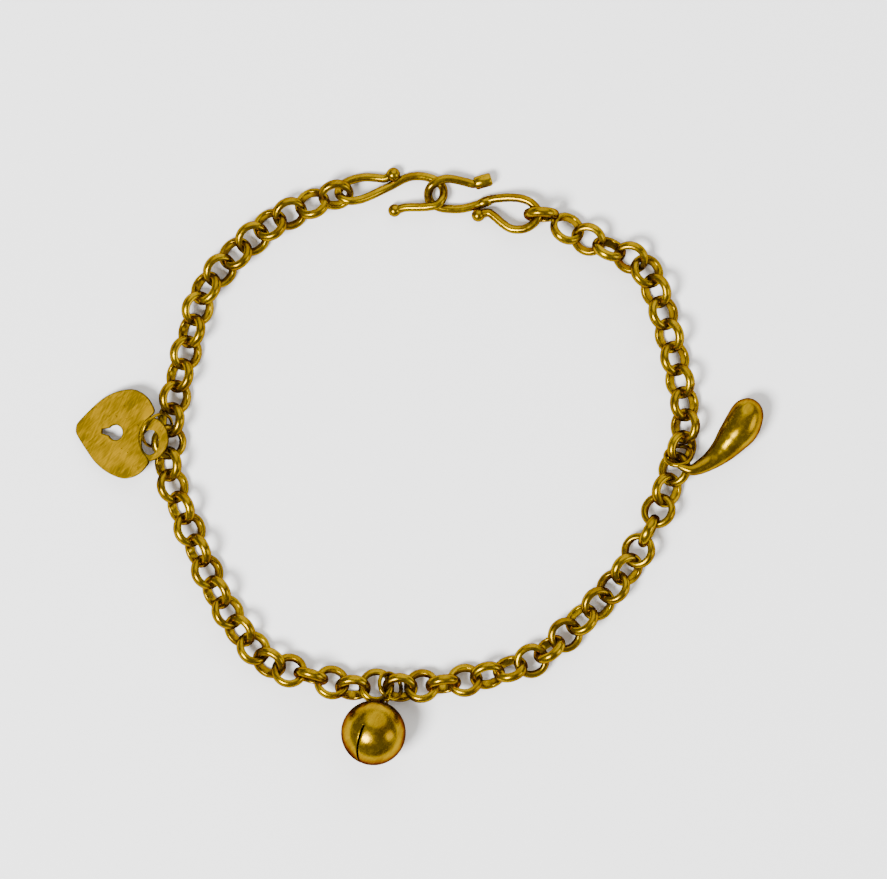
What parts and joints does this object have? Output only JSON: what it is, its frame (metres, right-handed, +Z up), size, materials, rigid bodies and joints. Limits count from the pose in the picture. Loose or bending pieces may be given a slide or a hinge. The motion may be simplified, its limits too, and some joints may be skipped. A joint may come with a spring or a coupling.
{
  "type": "charm bracelet",
  "caption": "Gold belcher chain bracelet lying in a loop, closed by interlocked S hooks, with a heart, a jingle bell and a curved drop as charms.",
  "frame": {"origin": "middle of the whole bracelet's underside, on the table it lies on", "axes": "+Z up from the table, +Y towards the clasp, -X towards the heart charm"},
  "size_m": [0.0774, 0.0672, 0.0073],
  "materials": {
    "chain": "polished gold, softly worn",
    "hooks": "polished gold",
    "heart": "satin gold, finely scratched",
    "rings": "polished gold",
    "bell": "polished gold",
    "drop": "polished gold"
  },
  "bodies": {
    "root": {"chain": "chain", "hook_left": "hooks", "hook_right": "hooks", "heart_charm": "heart", "heart_jump_ring": "rings", "bell_charm": "bell", "bell_jump_ring": "rings", "drop_charm": "drop"}
  },
  "joints": []
}
